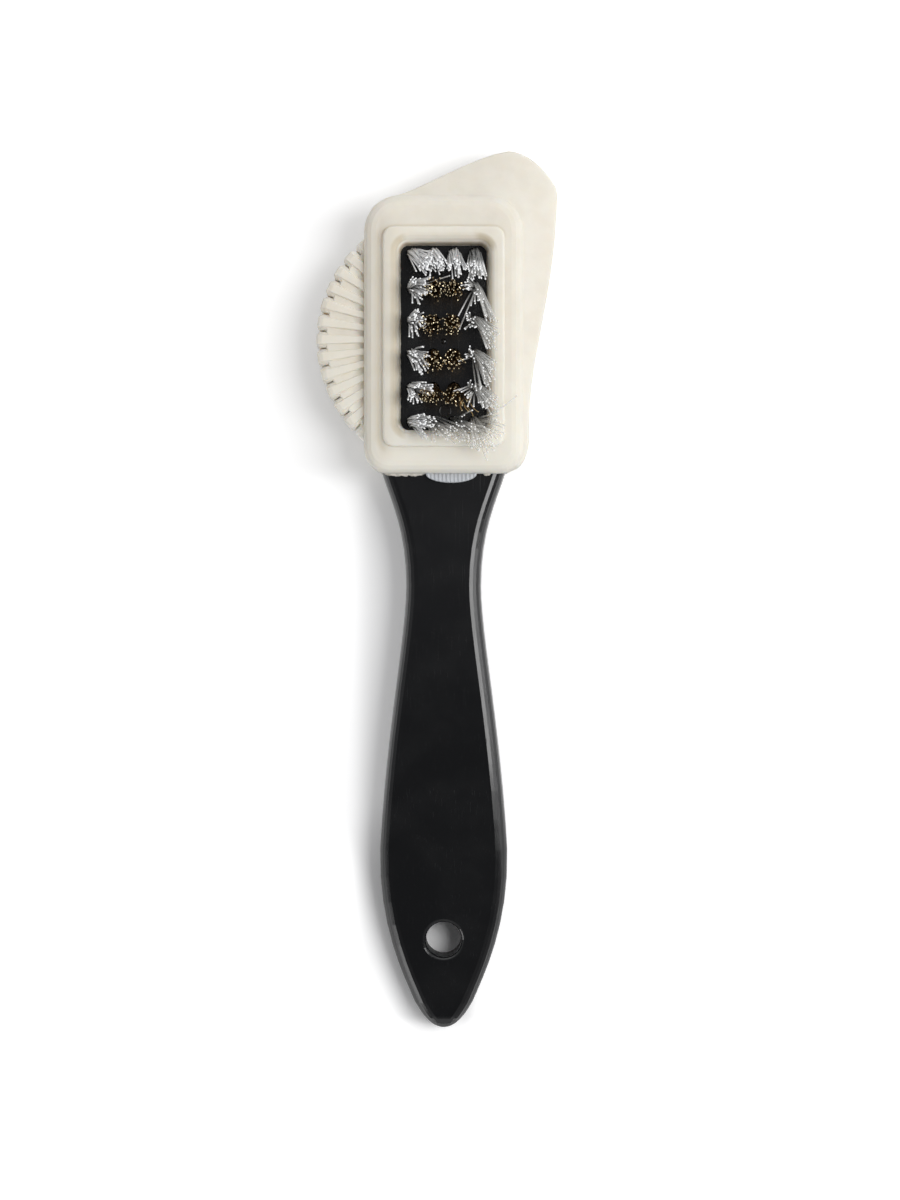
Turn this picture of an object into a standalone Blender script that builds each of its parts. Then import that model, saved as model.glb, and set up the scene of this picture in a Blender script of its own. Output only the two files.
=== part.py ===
"""Suede brush: a black plastic handle with a tufted head, inside a cream rubber sleeve.

Metres, +Z up. +X points to the sleeve's wedge, +Y from the handle to the head's far end, and +Z the
way the bristles point. The origin is on the resting plane, under the middle of the tuft field.
"""
import math

import bmesh
import bpy
from mathutils import Matrix, Vector
from mathutils.geometry import interpolate_bezier

MM = 0.001

# Clearance between pieces that touch on the real brush, and how far a cutter runs past a surface
GAP = 0.3 * MM
OVERRUN = 1.0 * MM

# Head: the block at the end of the handle that holds the tufts
HEAD_WIDTH = 23.5 * MM
HEAD_LENGTH = 45.1 * MM
HEAD_THICKNESS = 7.7 * MM
HEAD_EDGE = 0.6 * MM
HEAD_OFFSET = 0.6 * MM

# Tuft field, and the blind holes that the tufts are set in
TUFT_ROWS = 6
TUFT_COLUMNS = 4
ROW_PITCH = 6.1 * MM
COLUMN_PITCH = 3.75 * MM
HOLE_DIAMETER = 2.4 * MM
HOLE_DEPTH = 5.0 * MM
HOLE_SIDES = 12

# Round ejector mark left by the mould, between the last two rows
MARK_DIAMETER = 2.0 * MM
MARK_DEPTH = 0.2 * MM
MARK_ROW_SHARE = 2.15

# Grip, measured from the sleeve's mouth to the tip
GRIP_LENGTH = 101.6 * MM
GRIP_THICKNESS = 5.2 * MM
GRIP_BOW = 4.85 * MM
GRIP_EDGE = 2.1 * MM
GRIP_DRAFT = 0.1 * MM
ROOT_WIDTH = 22.4 * MM
WAIST_WIDTH = 13.7 * MM
SWELL_WIDTH = 23.3 * MM
SHOULDER_WIDTH = 10.6 * MM
SHOULDER_LENGTH = 4.6 * MM
# Height of the grip's upper face at the mouth, below the head's tufted face
GRIP_STEP = 0.45 * MM

# Hang hole near the tip, with rounded rims
HANG_BORE = 6.5 * MM
HANG_RIM = 0.7 * MM
HANG_FROM_TIP = 16.6 * MM

# Rubber sleeve: walls of the body round the head
SIDE_WALL = 2.4 * MM
END_WALL = 2.4 * MM
BACK_WALL = 2.5 * MM
FRONT_WALL = 2.7 * MM
FAR_CORNER = 6.5 * MM
NEAR_CORNER = 4.6 * MM
BODY_EDGE = 2.2 * MM

# Raised lip round the window
LIP_WIDTH = 22.0 * MM
LIP_LENGTH = 39.8 * MM
LIP_HEIGHT = 1.0 * MM
LIP_CORNER = 2.0 * MM
LIP_EDGE = 0.45 * MM

# Window: narrow at the head's face, with a large rounded edge up to the lip
WINDOW_WIDTH = 15.7 * MM
WINDOW_LENGTH = 33.6 * MM
WINDOW_DRAFT = 0.1 * MM
WINDOW_CORNER = 1.5 * MM
WINDOW_EDGE = 1.8 * MM
WINDOW_EDGE_STEPS = 5

# Fan on the sleeve's left side: a block with radial crests above and below, and notches in its rim
RIBS = 13
RIB_PITCH_DEG = 8.05
FAN_RADIUS = 23.8 * MM
FAN_REACH = 8.7 * MM
FAN_HEIGHT = 9.0 * MM
FAN_OFFSET = -0.3 * MM
RIM_ROUND = 1.0 * MM
NOTCH_DEPTH = 1.8 * MM
NOTCH_DROP = 0.7 * MM
LOBE_ROUND = 0.5 * MM
# Depth of the valleys between the crests: at their outer end, and at the root in the body
VALLEY_DROP = 0.4 * MM
VALLEY_ROOT_DROP = 1.1 * MM
VALLEY_END = 0.25 * MM
# Shares of half a pitch at which a crest ends, its side meets the valley, and the notch begins
CREST_SHARE = 0.45
FOOT_SHARE = 0.60
NOTCH_SHARE = 0.91
NOTCH_WALL_SHARE = 0.01
# Least step between the points of a rib's profile, where the block runs into the body
LEAST_STEP = 0.02 * MM

# Wedge on the sleeve's right side and far end
WEDGE_OUT = 6.2 * MM
WEDGE_UP = 8.6 * MM
WEDGE_ROOT = 10.2 * MM
WEDGE_TIP = 2.4 * MM
WEDGE_EDGE = 1.0 * MM

# Rounded edge of the sleeve's mouth, and the half-oval tab that it lays over the grip
MOUTH_EDGE = 0.2 * MM
TAB_WIDTH = 8.8 * MM
TAB_LENGTH = 1.6 * MM
TAB_THICKNESS = 0.8 * MM
TAB_OFFSET = 1.6 * MM

# Tufts: the folded root in its hole, and the strands that stand out of it
BRISTLE_LENGTH = 9.4 * MM
ROOT_SINK = 0.2 * MM
STRAND_WIDTH = 0.26 * MM
# Flat wire anchors that hold the folded roots down
ANCHOR_HEIGHT = 1.4 * MM
ANCHOR_THICKNESS = 0.3 * MM

# Sizes that follow from the ones above
BODY_WIDTH = HEAD_WIDTH + 2 * (SIDE_WALL + GAP)
BODY_LENGTH = HEAD_LENGTH + 2 * (END_WALL + GAP)
BODY_HEIGHT = BACK_WALL + HEAD_THICKNESS + FRONT_WALL + 2 * GAP
BODY_MIDDLE = BODY_HEIGHT / 2
HEAD_BACK = BACK_WALL + GAP
HEAD_FACE = HEAD_BACK + HEAD_THICKNESS
LIP_TOP = BODY_HEIGHT + LIP_HEIGHT
MOUTH_Y = HEAD_OFFSET - BODY_LENGTH / 2
GRIP_MIDDLE = HEAD_FACE - GRIP_STEP - GRIP_THICKNESS / 2
GRIP_INSET = GRIP_EDGE + GRIP_DRAFT
BODY_CORNERS = (FAR_CORNER, NEAR_CORNER)
CAVITY_CORNERS = (FAR_CORNER - SIDE_WALL, NEAR_CORNER - SIDE_WALL)
HEAD_CORNERS = (CAVITY_CORNERS[0] - GAP, CAVITY_CORNERS[1] - GAP)

# How far the middle of a quarter arc stands off its corner's two sides, as a share of its radius
ARC_SHARE = 1 - math.sqrt(0.5)
# The grip's thickness at its very tip, and the most of its width that an edge may take
TIP_THICKNESS_SHARE = 0.5
EDGE_LIMIT_SHARE = 0.7

# Grip's outline as shares: of its length along it, and of its widths across it
WAIST_SHARE = 0.20
SWELL_SHARE = 0.675
ROOT_HANDLE_SHARES = (0.05, 0.14)
WAIST_IN_SHARE = 0.10
WAIST_OUT_SHARE = 0.09
SWELL_IN_SHARES = (0.22, 0.10)
SWELL_OUT_SHARES = (0.14, 0.035)
SHOULDER_IN_SHARES = (1.09, 0.40)
SHOULDER_OUT_SHARES = (0.50, 0.26)
TIP_IN_SHARE = 0.49
GRIP_STEPS = (8, 12, 8, 16)
GRIP_EDGE_STEPS = 5

# Wedge's outline as shares: (of the body's half width, of WEDGE_OUT, of its half length, of WEDGE_UP)
WEDGE_OUTLINE_SHARES = (
    ((-0.66, 0.0, 1.0, -0.02), (-0.36, 0.0, 1.0, 0.06), (0.38, 0.0, 1.0, 0.90), (0.82, 0.0, 1.0, 1.0)),
    ((0.82, 0.0, 1.0, 1.0), (1.0, 0.10, 1.0, 1.0), (1.0, 0.66, 1.0, 0.64), (1.0, 0.96, 1.0, 0.24)),
    ((1.0, 0.96, 1.0, 0.24), (1.0, 1.03, 1.0, 0.13), (1.0, 1.02, 0.97, 0.0), (1.0, 0.98, 0.85, 0.0)),
    ((1.0, 0.98, 0.85, 0.0), (1.0, 0.92, 0.5, 0.0), (1.0, 0.56, 0.10, 0.0), (1.0, 0.36, -0.18, 0.0)),
    ((1.0, 0.36, -0.18, 0.0), (1.0, 0.24, -0.36, 0.0), (1.0, 0.17, -0.50, 0.0), (1.0, 0.18, -0.70, 0.0)),
    ((1.0, 0.18, -0.70, 0.0), (1.0, 0.19, -0.88, 0.0), (0.99, 0.03, -0.965, 0.0), (0.80, 0.0, -0.975, 0.0)),
)
WEDGE_STEPS = 8

# Leans of the tufts as shares of the bristles' length, towards +X and +Y, by row from the far end
UPRIGHT_LEAN_SHARES = (0.03, -0.12)
LEFT_LEAN_SHARES = (0.12, -0.10)
RIGHT_LEAN_SHARES = (0.40, -0.36)
FIRST_ROW_LEAN_SHARES = ((0.12, -0.34), (0.06, -0.32), (0.0, -0.30), (0.06, -0.36))
LAST_ROW_LEAN_SHARES = ((0.10, -0.16), (0.28, -0.42), (0.34, -0.44), (0.44, -0.40))
# How far a tuft's tips spread from its middle, of their places at the root, and how uneven they are
NYLON_SPREAD_SHARE = 0.75
BRASS_SPREAD_SHARE = 0.5
UNEVEN_SHARE = 0.09

COLOURS = {
    "handle": ((0.013, 0.013, 0.014), 0.32, 0.0),
    "rubber": ((0.76, 0.71, 0.61), 0.55, 0.0),
    "nylon": ((0.80, 0.81, 0.80), 0.30, 0.0),
    "brass": ((0.62, 0.42, 0.16), 0.30, 1.0),
    "wire": ((0.55, 0.55, 0.54), 0.35, 1.0),
}


def clear_scene():
    """Remove every object, so that the script gives the same result each run."""
    for old in list(bpy.data.objects):
        bpy.data.objects.remove(old, do_unlink=True)


def new_collection(name):
    collection = bpy.data.collections.new(name)
    bpy.context.scene.collection.children.link(collection)
    return collection


def new_material(name):
    """A Principled material with the colour, roughness and metallic value of one finish."""
    colour, roughness, metallic = COLOURS[name]
    material = bpy.data.materials.new(name)
    material.use_nodes = True
    shader = material.node_tree.nodes["Principled BSDF"]
    shader.inputs["Base Color"].default_value = (*colour, 1.0)
    shader.inputs["Roughness"].default_value = roughness
    shader.inputs["Metallic"].default_value = metallic
    return material


def add_object(name, bm, collection, material=None):
    """Turn a bmesh into a named object, with outward faces and smooth round surfaces."""
    bmesh.ops.recalc_face_normals(bm, faces=bm.faces[:])
    mesh = bpy.data.meshes.new(name)
    bm.to_mesh(mesh)
    bm.free()
    mesh.shade_smooth()
    mesh.set_sharp_from_angle(angle=math.radians(35))
    if material:
        mesh.materials.append(material)
    obj = bpy.data.objects.new(name, mesh)
    collection.objects.link(obj)
    return obj


def add_guide(name, bm, collection):
    """A shape that only cuts or joins another, and isn't a piece itself."""
    guide = add_object(name, bm, collection)
    guide.hide_render = True
    guide.display_type = "WIRE"
    return guide


def boolean(target, guide, operation):
    modifier = target.modifiers.new(guide.name, "BOOLEAN")
    modifier.operation = operation
    modifier.solver = "EXACT"
    modifier.object = guide


def loft(bm, rings):
    """Join rings of equally many points into a closed solid with flat ends."""
    rows = [[bm.verts.new(point) for point in ring] for ring in rings]
    count = len(rows[0])
    for near, far in zip(rows, rows[1:]):
        for i in range(count):
            j = (i + 1) % count
            bm.faces.new((near[i], near[j], far[j], far[i]))
    bm.faces.new(rows[0][::-1])
    bm.faces.new(rows[-1])


def rounded_box(width, length, height, middle, corners, edge, corner_steps=6, edge_steps=3):
    """A box with round upright corners, far and near, and rounded upper and lower edges."""
    bm = bmesh.new()
    bmesh.ops.create_cube(bm, size=1, matrix=Matrix.Diagonal((width, length, height, 1)))
    for side, corner in zip((1, -1), corners):
        at_end = [e for e in bm.edges if side * e.verts[0].co.y > length / 2 - edge]
        upright = [e for e in at_end if abs(e.verts[0].co.z - e.verts[1].co.z) > height / 2]
        bmesh.ops.bevel(bm, geom=upright, offset=corner, segments=corner_steps, profile=0.5, affect="EDGES")
    flat_faces = [f for f in bm.faces if abs(f.normal.z) > math.cos(math.radians(1))]
    rims = [e for f in flat_faces for e in f.edges]
    bmesh.ops.bevel(bm, geom=rims, offset=edge, segments=edge_steps, profile=0.5, affect="EDGES")
    bmesh.ops.translate(bm, vec=middle, verts=bm.verts[:])
    return bm


def rounded_rectangle(width, length, corner, z, steps=4):
    """The corner arcs of a rectangle, as one ring of points at the height z."""
    ring = []
    for quarter in range(4):
        side_x, side_y = ((1, 1), (-1, 1), (-1, -1), (1, -1))[quarter]
        centre = Vector((side_x * (width / 2 - corner), side_y * (length / 2 - corner), z))
        for step in range(steps + 1):
            angle = math.radians(90) * (quarter + step / steps)
            ring.append(centre + Vector((corner * math.cos(angle), corner * math.sin(angle), 0)))
    return ring


def bezier_points(segments, steps):
    """Points along joined Bezier segments, each given as knot, handle, handle, knot."""
    points = []
    for (knot, handle_out, handle_in, end), count in zip(segments, steps):
        stretch = interpolate_bezier(knot, handle_out, handle_in, end, count + 1)
        points += stretch[:-1]
    points.append(segments[-1][3])
    return points


def tuft_places():
    """Each tuft's row, column and middle, with row 1 at the far end and column 1 on the fan's side."""
    for row in range(1, TUFT_ROWS + 1):
        for column in range(1, TUFT_COLUMNS + 1):
            x = (column - (TUFT_COLUMNS + 1) / 2) * COLUMN_PITCH
            y = ((TUFT_ROWS + 1) / 2 - row) * ROW_PITCH
            yield row, column, x, y


def grip_outline():
    """Half widths along the grip, as points (distance from the mouth, half width)."""
    waist_at = WAIST_SHARE * GRIP_LENGTH
    swell_at = SWELL_SHARE * GRIP_LENGTH
    shoulder_at = GRIP_LENGTH - SHOULDER_LENGTH

    root = Vector((0, ROOT_WIDTH / 2))
    waist = Vector((waist_at, WAIST_WIDTH / 2))
    swell = Vector((swell_at, SWELL_WIDTH / 2))
    shoulder = Vector((shoulder_at, SHOULDER_WIDTH / 2))
    tip = Vector((GRIP_LENGTH, 0))

    def along(length_share, width_share, width):
        return Vector((length_share * GRIP_LENGTH, width_share * width / 2))

    def near_tip(length_share, width_share):
        return Vector((length_share * SHOULDER_LENGTH, width_share * SHOULDER_WIDTH / 2))

    segments = (
        (root, root + along(ROOT_HANDLE_SHARES[0], -ROOT_HANDLE_SHARES[1], ROOT_WIDTH),
         waist - along(WAIST_IN_SHARE, 0, WAIST_WIDTH), waist),
        (waist, waist + along(WAIST_OUT_SHARE, 0, WAIST_WIDTH),
         swell - along(*SWELL_IN_SHARES, SWELL_WIDTH), swell),
        (swell, swell + along(*SWELL_OUT_SHARES, SWELL_WIDTH),
         shoulder + near_tip(-SHOULDER_IN_SHARES[0], SHOULDER_IN_SHARES[1]), shoulder),
        (shoulder, shoulder + near_tip(SHOULDER_OUT_SHARES[0], -SHOULDER_OUT_SHARES[1]),
         tip + near_tip(0, TIP_IN_SHARE), tip),
    )
    return bezier_points(segments, GRIP_STEPS)


def grip_height(distance):
    """Height of the grip's middle: level at the mouth, bowed down to the table at the tip."""
    share = max(distance, 0) / GRIP_LENGTH
    return GRIP_MIDDLE - GRIP_BOW * share ** 2


def grip_section(distance, half_width):
    """One cross-section of the grip: flat faces, rounded edges and sides drafted to the middle."""
    # Near the tip the rounded edge also lowers the faces
    end_share = min(1, max(GRIP_LENGTH - distance, 0) / GRIP_INSET)
    half = GRIP_THICKNESS / 2 * math.sqrt(1 - (1 - TIP_THICKNESS_SHARE ** 2) * (1 - end_share) ** 2)
    inset = min(GRIP_INSET, EDGE_LIMIT_SHARE * half_width)
    edge = GRIP_EDGE * inset / GRIP_INSET
    side = half_width - (inset - edge)
    turns = [math.radians(90) * step / GRIP_EDGE_STEPS for step in range(GRIP_EDGE_STEPS + 1)]
    upper = [(side - edge * (1 - math.sin(turn)), half - edge * (1 - math.cos(turn))) for turn in turns]
    right = upper + [(half_width, 0)] + [(x, -z) for x, z in reversed(upper)]
    ring = right + [(-x, z) for x, z in reversed(right)]
    y = MOUTH_Y - distance
    z_middle = grip_height(distance)
    return [Vector((x, y, z_middle + z)) for x, z in ring]


def hang_hole_cutter(collection):
    """A turned bore with rounded rims, square to the bowed grip where it passes through."""
    distance = GRIP_LENGTH - HANG_FROM_TIP
    slope = 2 * GRIP_BOW * distance / GRIP_LENGTH ** 2
    radius = HANG_BORE / 2
    face = GRIP_THICKNESS / 2
    steps = 4
    profile = [(0, face + OVERRUN), (radius + HANG_RIM, face + OVERRUN)]
    for step in range(steps + 1):
        angle = math.radians(90) * step / steps
        profile.append((radius + HANG_RIM * (1 - math.sin(angle)), face - HANG_RIM * (1 - math.cos(angle))))
    profile += [(x, -z) for x, z in reversed(profile)]

    bm = bmesh.new()
    verts = [bm.verts.new((x, 0, z)) for x, z in profile]
    for near, far in zip(verts, verts[1:]):
        bm.edges.new((near, far))
    cutter = add_guide("hang_hole_cutter", bm, collection)
    screw = cutter.modifiers.new("turn", "SCREW")
    screw.steps = 32
    screw.render_steps = 32
    screw.use_merge_vertices = True
    screw.merge_threshold = 0.00001
    cutter.location = (0, MOUTH_Y - distance, grip_height(distance))
    cutter.rotation_euler = (math.atan(slope), 0, 0)
    return cutter


def tuft_hole_cutter(collection):
    """All the blind holes of the tuft field as one cutter."""
    bm = bmesh.new()
    depth = HOLE_DEPTH + OVERRUN
    for _, _, x, y in tuft_places():
        middle = Vector((x, y, HEAD_FACE + OVERRUN - depth / 2))
        bmesh.ops.create_cone(
            bm, cap_ends=True, segments=HOLE_SIDES, radius1=HOLE_DIAMETER / 2, radius2=HOLE_DIAMETER / 2,
            depth=depth, matrix=Matrix.Translation(middle),
        )
    return add_guide("tuft_hole_cutter", bm, collection)


def mark_cutter(collection):
    bm = bmesh.new()
    middle = Vector((0, -MARK_ROW_SHARE * ROW_PITCH, HEAD_FACE))
    bmesh.ops.create_cone(
        bm, cap_ends=True, segments=20, radius1=MARK_DIAMETER / 2, radius2=MARK_DIAMETER / 2,
        depth=2 * MARK_DEPTH, matrix=Matrix.Translation(middle),
    )
    return add_guide("mark_cutter", bm, collection)


def make_handle(parts, cutters, material):
    """The one plastic moulding: tufted head block, bowed grip and hang hole."""
    head_middle = Vector((0, HEAD_OFFSET, HEAD_BACK + HEAD_THICKNESS / 2))
    head = rounded_box(HEAD_WIDTH, HEAD_LENGTH, HEAD_THICKNESS, head_middle, HEAD_CORNERS, HEAD_EDGE, 5, 2)
    handle = add_object("handle", head, parts, material)

    outline = grip_outline()
    # The grip starts inside the head block, and its last section is cut just short of the point
    buried = END_WALL + GAP + HEAD_EDGE + OVERRUN
    sections = [grip_section(-buried, ROOT_WIDTH / 2)]
    sections += [grip_section(distance, half_width) for distance, half_width in outline[:-1]]
    bm = bmesh.new()
    loft(bm, sections)
    grip = add_guide("grip_form", bm, cutters)

    boolean(handle, grip, "UNION")
    boolean(handle, hang_hole_cutter(cutters), "DIFFERENCE")
    boolean(handle, tuft_hole_cutter(cutters), "DIFFERENCE")
    boolean(handle, mark_cutter(cutters), "DIFFERENCE")
    return handle


def wedge_form(collection):
    """The smooth blade: ruled from inside the body's wall to the outline, thinner further out."""
    def outline_point(shares):
        width_share, out_share, length_share, up_share = shares
        x = width_share * BODY_WIDTH / 2 + out_share * WEDGE_OUT
        y = HEAD_OFFSET + length_share * BODY_LENGTH / 2 + up_share * WEDGE_UP
        return Vector((x, y, BODY_MIDDLE))

    segments = [[outline_point(shares) for shares in segment] for segment in WEDGE_OUTLINE_SHARES]
    outline = bezier_points(segments, [WEDGE_STEPS] * len(segments))

    # The root follows the body's outline, half a wall inside it
    far_x = BODY_WIDTH / 2 - FAR_CORNER
    near_x = BODY_WIDTH / 2 - NEAR_CORNER
    far_y = HEAD_OFFSET + BODY_LENGTH / 2 - FAR_CORNER
    near_y = HEAD_OFFSET - BODY_LENGTH / 2 + NEAR_CORNER
    full_reach = math.hypot(WEDGE_OUT, WEDGE_UP) + SIDE_WALL / 2

    sections = []
    for outer in outline:
        at_far_end = outer.y > HEAD_OFFSET
        corner = FAR_CORNER if at_far_end else NEAR_CORNER
        limit_x = far_x if at_far_end else near_x
        core = Vector((
            min(max(outer.x, -limit_x), limit_x),
            min(max(outer.y, near_y), far_y),
            BODY_MIDDLE,
        ))
        direction = (outer - core).normalized()
        inner = core + direction * (corner - SIDE_WALL / 2)
        reach = (outer - inner).length
        root_half = WEDGE_ROOT / 2
        edge_half = root_half + (WEDGE_TIP / 2 - root_half) * min(1, reach / full_reach)
        edge = min(WEDGE_EDGE, reach / 2)
        upper = [
            (inner, root_half),
            (outer - direction * edge, edge_half),
            (outer - direction * edge * ARC_SHARE, edge_half - edge * ARC_SHARE),
            (outer, edge_half - edge),
        ]
        ring = upper + [(point, -z) for point, z in reversed(upper)]
        sections.append([point + Vector((0, 0, z)) for point, z in ring])
    bm = bmesh.new()
    loft(bm, sections)
    return add_guide("wedge_form", bm, collection)


def fan_form(collection):
    """A half disc of rubber with radial crests, as one loft from station to station round the fan."""
    pitch = math.radians(RIB_PITCH_DEG)
    centre = Vector((FAN_RADIUS - FAN_REACH - BODY_WIDTH / 2, FAN_OFFSET, BODY_MIDDLE))
    root_x = SIDE_WALL / 2 - BODY_WIDTH / 2
    crest = FAN_HEIGHT / 2
    notch_end = FAN_RADIUS - NOTCH_DEPTH

    def to_rim(radius, height, edge):
        """The last points of a profile: level up to its rounded edge, and round it."""
        return [
            (radius - edge, height),
            (radius - edge * ARC_SHARE, height - edge * ARC_SHARE),
            (radius, height - edge),
        ]

    # Radial profiles as points (radius, half height), the first of them at the root
    valley = [(0, crest - VALLEY_ROOT_DROP), (notch_end - VALLEY_END, crest - VALLEY_DROP)]
    lobe = crest - NOTCH_DROP
    stations = (
        (CREST_SHARE, [(0, crest), (notch_end - VALLEY_END, crest), (notch_end, crest)]
         + to_rim(FAN_RADIUS, crest, RIM_ROUND)),
        (FOOT_SHARE, valley + [(notch_end, crest - VALLEY_DROP)]
         + to_rim(FAN_RADIUS, crest - VALLEY_DROP, RIM_ROUND)),
        (NOTCH_SHARE, valley + [(notch_end, lobe)] + to_rim(FAN_RADIUS - LOBE_ROUND, lobe, RIM_ROUND)),
        (NOTCH_SHARE + NOTCH_WALL_SHARE, valley + [(notch_end - VALLEY_END / 2, crest - VALLEY_DROP)]
         + to_rim(notch_end, crest - VALLEY_DROP, VALLEY_END / 4)),
    )

    def ring(rib, side, share, profile):
        """One section of the block, at a share of half a pitch to one side of the rib's middle line."""
        angle = math.pi - (rib - (RIBS - 1) / 2 + side * share / 2) * pitch
        along = Vector((math.cos(angle), math.sin(angle), 0))
        root = (root_x - centre.x) / math.cos(angle)
        upper = [(max(radius, root + LEAST_STEP * i), height) for i, (radius, height) in enumerate(profile)]
        lower = [(radius, -height) for radius, height in reversed(upper)]
        return [centre + along * radius + Vector((0, 0, height)) for radius, height in upper + lower]

    sections = []
    for rib in range(RIBS):
        sections += [ring(rib, -1, *station) for station in reversed(stations)]
        sections += [ring(rib, 1, *station) for station in stations]
    bm = bmesh.new()
    loft(bm, sections)
    return add_guide("fan_form", bm, collection)


def window_cutter(collection):
    """The window from the cavity out through the lip, with its rounded edge."""
    levels = [(0, HEAD_FACE - OVERRUN), (0, HEAD_FACE + GAP + FRONT_WALL / 4)]
    for step in range(WINDOW_EDGE_STEPS + 1):
        turn = math.radians(90) * step / WINDOW_EDGE_STEPS
        wider = 2 * (WINDOW_DRAFT + WINDOW_EDGE * (1 - math.cos(turn)))
        levels.append((wider, LIP_TOP - WINDOW_EDGE * (1 - math.sin(turn))))
    levels.append((levels[-1][0], LIP_TOP + OVERRUN))
    bm = bmesh.new()
    loft(bm, [
        rounded_rectangle(WINDOW_WIDTH + more, WINDOW_LENGTH + more, WINDOW_CORNER + more / 2, z)
        for more, z in levels
    ])
    return add_guide("window_cutter", bm, collection)


def mouth_cutter(collection):
    """The opening that the grip comes out of, from outside to past the cavity's round corners."""
    width = ROOT_WIDTH + 2 * GAP
    height = GRIP_THICKNESS + 2 * GAP
    depth = OVERRUN + END_WALL + NEAR_CORNER
    bm = rounded_box(width, height, depth, Vector(), (GRIP_EDGE, GRIP_EDGE), MOUTH_EDGE, 3, 1)
    cutter = add_guide("mouth_cutter", bm, collection)
    cutter.location = (0, MOUTH_Y - OVERRUN + depth / 2, GRIP_MIDDLE)
    cutter.rotation_euler = (math.radians(90), 0, 0)
    return cutter


def tab_form(collection):
    """A flat oval plate, half of it inside the wall above the mouth."""
    bm = bmesh.new()
    bmesh.ops.create_cone(bm, cap_ends=True, segments=24, radius1=1, radius2=1, depth=1)
    bmesh.ops.scale(bm, vec=(TAB_WIDTH / 2, TAB_LENGTH, TAB_THICKNESS), verts=bm.verts[:])
    underside = GRIP_MIDDLE + GRIP_THICKNESS / 2 + GAP
    bmesh.ops.translate(bm, vec=(TAB_OFFSET, MOUTH_Y, underside + TAB_THICKNESS / 2), verts=bm.verts[:])
    return add_guide("tab_form", bm, collection)


def make_sleeve(parts, cutters, material):
    """The one rubber moulding: hollow body, lip, window, fan, wedge and mouth tab."""
    body_middle = Vector((0, HEAD_OFFSET, BODY_HEIGHT / 2))
    body = rounded_box(BODY_WIDTH, BODY_LENGTH, BODY_HEIGHT, body_middle, BODY_CORNERS, BODY_EDGE, 8, 4)
    sleeve = add_object("rubber_sleeve", body, parts, material)

    lip_depth = LIP_HEIGHT + FRONT_WALL / 2
    lip_middle = Vector((0, 0, LIP_TOP - lip_depth / 2))
    lip_corners = (LIP_CORNER, LIP_CORNER)
    lip = rounded_box(LIP_WIDTH, LIP_LENGTH, lip_depth, lip_middle, lip_corners, LIP_EDGE)
    lip = add_guide("lip_form", lip, cutters)

    room = 2 * GAP
    cavity_middle = Vector((0, HEAD_OFFSET, HEAD_BACK + HEAD_THICKNESS / 2))
    cavity = rounded_box(
        HEAD_WIDTH + room, HEAD_LENGTH + room, HEAD_THICKNESS + room, cavity_middle,
        CAVITY_CORNERS, HEAD_EDGE, 5, 2,
    )
    cavity = add_guide("cavity_cutter", cavity, cutters)

    for form in (lip, wedge_form(cutters), fan_form(cutters), tab_form(cutters)):
        boolean(sleeve, form, "UNION")
    for cutter in (cavity, window_cutter(cutters), mouth_cutter(cutters)):
        boolean(sleeve, cutter, "DIFFERENCE")
    return sleeve


def tuft_lean(row, column):
    """How far a tuft's tips stand off its root, towards +X and +Y."""
    if row == 1:
        shares = FIRST_ROW_LEAN_SHARES[column - 1]
    elif row == TUFT_ROWS:
        shares = LAST_ROW_LEAN_SHARES[column - 1]
    elif column == 1:
        shares = LEFT_LEAN_SHARES
    elif column == TUFT_COLUMNS:
        shares = RIGHT_LEAN_SHARES
    else:
        shares = UPRIGHT_LEAN_SHARES
    return Vector((*shares, 0)) * BRISTLE_LENGTH


def tuft_root(bm, radius, top, bottom):
    """The folded root as a plug, whose round top is a disc of triangles. Returns those triangles."""
    bmesh.ops.create_circle(bm, cap_ends=True, cap_tris=True, segments=6, radius=radius)
    bmesh.ops.subdivide_edges(bm, edges=bm.edges[:], cuts=1, use_grid_fill=True)
    rim = [e for e in bm.edges if e.is_boundary]
    for vert in {v for e in rim for v in e.verts}:
        vert.co = vert.co.normalized() * radius
    bmesh.ops.translate(bm, vec=(0, 0, top), verts=bm.verts[:])
    disc = bm.faces[:]
    lower = bmesh.ops.extrude_edge_only(bm, edges=rim)["geom"]
    for vert in [g for g in lower if isinstance(g, bmesh.types.BMVert)]:
        vert.co.z = bottom
    bmesh.ops.edgeloop_fill(bm, edges=[e for e in bm.edges if e.is_boundary])
    return disc


def grow_strands(bm, disc, top, radius, lean, spread, steps):
    """Draw a strand out of each triangle at the disc's middle and rim, none of them crossing."""
    def is_root(face):
        at_rim = any(len([f for f in e.link_faces if f not in disc]) for e in face.edges)
        at_middle = any(v.co.xy.length < radius / 4 for v in face.verts)
        return at_rim or at_middle

    faces = [f for f in disc if is_root(f)]
    bmesh.ops.inset_individual(bm, faces=faces, thickness=STRAND_WIDTH / 8, use_even_offset=True)
    rise = math.sqrt(BRISTLE_LENGTH ** 2 - lean.length_squared) + HEAD_FACE - top
    for index, face in enumerate(faces):
        root = face.calc_center_median()
        for vert in face.verts:
            vert.co = root + (vert.co - root).normalized() * STRAND_WIDTH / 2

        middle = root
        for step in range(1, steps + 1):
            # Neighbours bend at the same heights, so they never cross: a shorter strand only ends sooner
            reach = step / steps
            point = root + Vector((root.x, root.y, 0)) * spread * reach + lean * reach ** 2
            point.z = top + rise * reach
            cut = UNEVEN_SHARE * steps * (index * 5 % 7) / 7 if step == steps else 0
            move = (point - middle) * (1 - cut)
            face = bmesh.ops.extrude_discrete_faces(bm, faces=[face])["faces"][0]
            bmesh.ops.translate(bm, vec=move, verts=face.verts[:])
            middle = middle + move


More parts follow.
